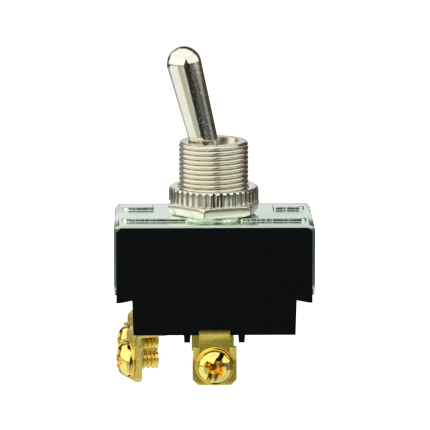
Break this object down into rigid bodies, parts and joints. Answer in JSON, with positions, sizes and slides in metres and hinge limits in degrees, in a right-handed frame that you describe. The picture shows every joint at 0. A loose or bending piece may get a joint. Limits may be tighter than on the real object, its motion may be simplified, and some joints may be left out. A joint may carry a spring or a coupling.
{
  "type": "panel toggle switch",
  "caption": "Panel toggle switch: tilting bat lever in a threaded bushing with hex and knurled nuts, folded metal cover, black moulded body and brass screw terminals.",
  "frame": {"origin": "on the bushing axis, at the raised boss of the cover where the hex nut seats", "axes": "+Z out of the panel along the bushing; +X along the cover, away from the end terminals, so the lever at rest leans towards -X; -Y is the front side of the picture"},
  "size_m": [0.0338, 0.027, 0.0561],
  "materials": {
    "nickel_bright": "bright nickel plate, polished",
    "steel_pin": "ground steel",
    "nickel_bushing": "nickel plate over turned brass",
    "nickel_hex": "nickel plate, fine grain",
    "nickel_knurl": "nickel plate, pressed teeth",
    "zinc_sheet": "zinc plate with a faint green passivation",
    "phenolic_black": "black moulded phenolic, satin",
    "fibre_sheet": "grey vulcanised fibre",
    "nylon_white": "natural nylon",
    "brass_turned": "turned brass",
    "spring_steel": "music wire",
    "copper_strip": "copper strip",
    "silver_contact": "silver contact face",
    "brass_strip": "rolled brass strip, dull olive gold",
    "brass_screw": "bright brass plate"
  },
  "bodies": {
    "root": {"threaded_bushing": "nickel_bushing", "metal_cover": "zinc_sheet", "switch_housing": "phenolic_black", "cover_insulator": "fibre_sheet", "rocker_cradle_front": "brass_strip", "cradle_rivet_front": "brass_turned", "fixed_contact_front": "silver_contact", "centre_terminal_front": "brass_strip", "end_terminal_front": "brass_strip", "rocker_cradle_rear": "brass_strip", "cradle_rivet_rear": "brass_turned", "fixed_contact_rear": "silver_contact", "centre_terminal_rear": "brass_strip", "end_terminal_rear": "brass_strip"},
    "lever": {"toggle_lever": "nickel_bright", "lever_pivot_pin": "steel_pin", "plunger_carrier": "nylon_white", "plunger_spring_front": "spring_steel", "plunger_spring_rear": "spring_steel"},
    "hex_nut": {"hex_nut": "nickel_hex"},
    "knurled_nut": {"knurled_nut": "nickel_knurl"},
    "plunger_front": {"plunger_front": "brass_turned"},
    "rocker_front": {"rocker_front": "copper_strip", "moving_contact_front": "silver_contact"},
    "centre_screw_front": {"centre_screw_front": "brass_screw"},
    "end_screw_front": {"end_screw_front": "brass_screw"},
    "plunger_rear": {"plunger_rear": "brass_turned"},
    "rocker_rear": {"rocker_rear": "copper_strip", "moving_contact_rear": "silver_contact"},
    "centre_screw_rear": {"centre_screw_rear": "brass_screw"},
    "end_screw_rear": {"end_screw_rear": "brass_screw"}
  },
  "joints": [
    {"name": "lever_tilt", "type": "hinge", "parent": "root", "child": "lever", "pos_m": [0, 0, 0.00555], "axis": [0, 1, 0], "range_deg": [0, 28.2]},
    {"name": "hex_nut_travel", "type": "slide", "parent": "root", "child": "hex_nut", "axis": [0, 0, 1], "range_m": [0, 0.003]},
    {"name": "knurled_nut_travel", "type": "slide", "parent": "hex_nut", "child": "knurled_nut", "axis": [0, 0, 1], "range_m": [0, 0.0044]},
    {"name": "rocker_front_tilt", "type": "hinge", "parent": "root", "child": "rocker_front", "pos_m": [0, -0.00455, -0.01398], "axis": [0, 1, 0], "range_deg": [-9.01, 0]},
    {"name": "plunger_front_travel", "type": "slide", "parent": "lever", "child": "plunger_front", "axis": [-0.2436, 0, 0.9699], "range_m": [0, 0.0008], "stiffness_N_per_m": 50, "springref_m": -0.004, "deforming": ["plunger_spring_front"]},
    {"name": "centre_screw_front_travel", "type": "slide", "parent": "root", "child": "centre_screw_front", "axis": [0, -1, 0], "range_m": [0, 0.0025]},
    {"name": "end_screw_front_travel", "type": "slide", "parent": "root", "child": "end_screw_front", "axis": [-0.9613, -0.2756, 0], "range_m": [0, 0.0025]},
    {"name": "rocker_rear_tilt", "type": "hinge", "parent": "root", "child": "rocker_rear", "pos_m": [0, 0.00455, -0.01398], "axis": [0, 1, 0], "range_deg": [-9.01, 0]},
    {"name": "plunger_rear_travel", "type": "slide", "parent": "lever", "child": "plunger_rear", "axis": [-0.2436, 0, 0.9699], "range_m": [0, 0.0008], "stiffness_N_per_m": 50, "springref_m": -0.004, "deforming": ["plunger_spring_rear"]},
    {"name": "centre_screw_rear_travel", "type": "slide", "parent": "root", "child": "centre_screw_rear", "axis": [0, 1, 0], "range_m": [0, 0.0025]},
    {"name": "end_screw_rear_travel", "type": "slide", "parent": "root", "child": "end_screw_rear", "axis": [-0.9613, -0.2756, 0], "range_m": [0, 0.0025]}
  ],
  "couplings": [
    {"joint": "rocker_front_tilt", "follows": "lever_tilt", "ratio": -0.31915},
    {"joint": "rocker_rear_tilt", "follows": "lever_tilt", "ratio": -0.31915}
  ]
}
